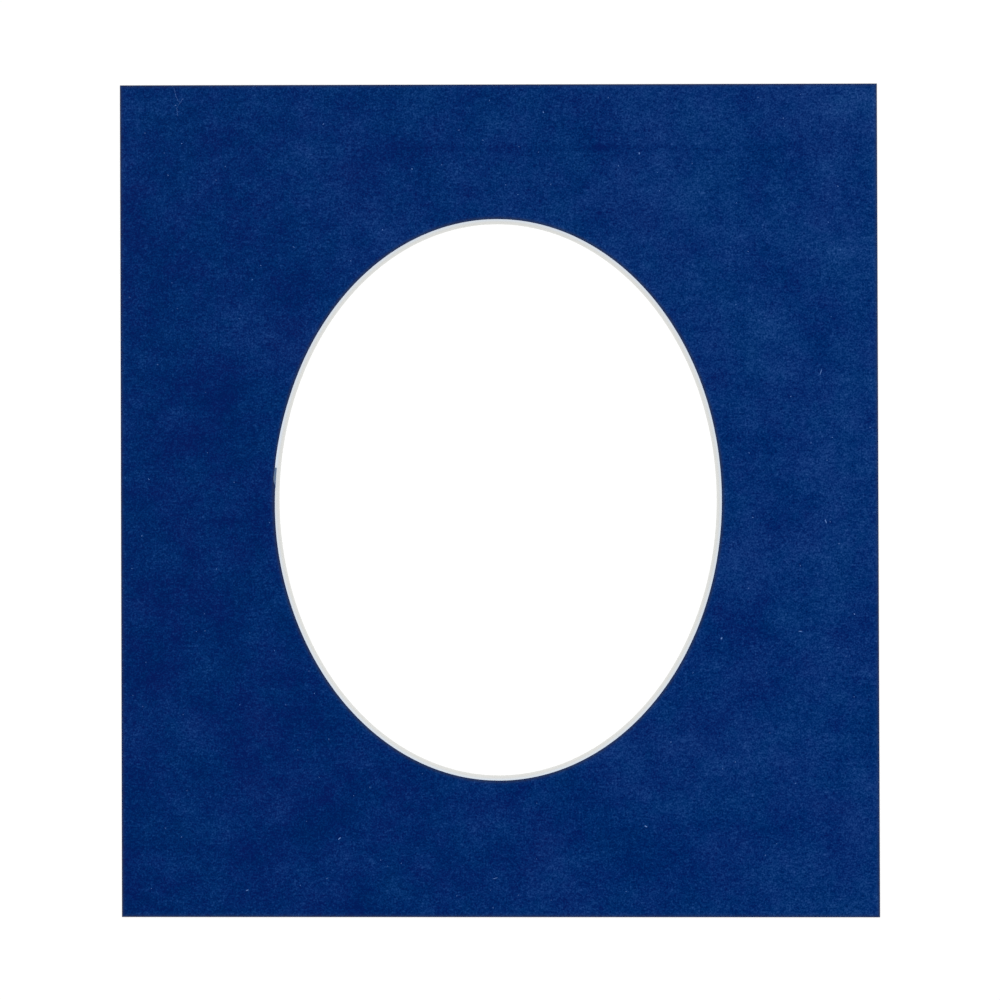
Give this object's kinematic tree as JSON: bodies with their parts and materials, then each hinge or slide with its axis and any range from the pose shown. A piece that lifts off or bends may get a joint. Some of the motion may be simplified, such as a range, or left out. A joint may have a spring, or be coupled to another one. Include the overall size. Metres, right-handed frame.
{
  "type": "oval picture mount",
  "caption": "Rectangular sheet of suede-faced mount board with a bevel-cut oval window that shows its white core.",
  "frame": {"origin": "middle of the sheet's outline, on its back face", "axes": "+Z out of the suede facing, +Y towards the sheet's top edge, +X to the right as the facing is looked at"},
  "size_m": [0.2, 0.22, 0.0017],
  "materials": {
    "white_core": "matt uncoated pulp board, cut with a blade at the window and at the edges",
    "blue_suede": "short flocked suede nap, matt, slightly mottled where it has been brushed"
  },
  "bodies": {
    "root": {"core_board": "white_core", "suede_facing": "blue_suede"}
  },
  "joints": []
}
